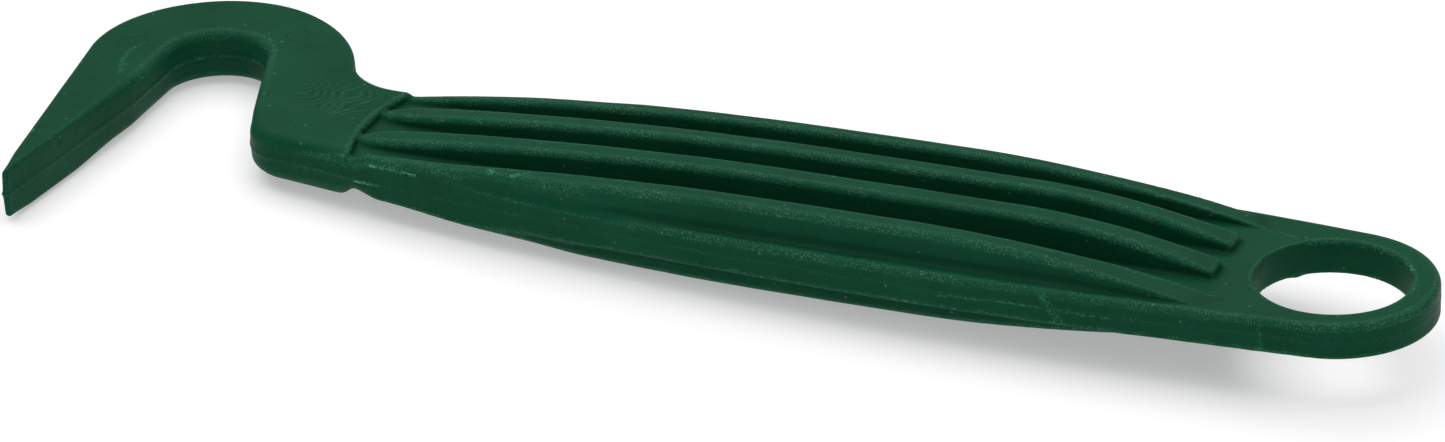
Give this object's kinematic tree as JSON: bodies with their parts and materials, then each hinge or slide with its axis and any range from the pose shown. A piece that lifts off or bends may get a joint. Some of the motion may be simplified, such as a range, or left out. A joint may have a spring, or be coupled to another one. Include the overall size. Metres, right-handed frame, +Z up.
{
  "type": "hoof pick",
  "caption": "Plastic hoof pick moulded in one piece: hooked scraping blade, slim neck, ribbed grip and a round hanging eye.",
  "frame": {"origin": "centre of the hanging eye, half-way through the thickness of its plate", "axes": "-X runs along the handle from the eye to the neck, the blade's tip points to -Y, +Z is up through the thickness; z = 0 is the parting plane, and the ribs stand 0.7 mm lower below it than above"},
  "size_m": [0.166, 0.0504, 0.0119],
  "materials": {
    "green_plastic": "satin moulded"
  },
  "bodies": {
    "root": {"hoof_pick": "green_plastic"}
  },
  "joints": []
}
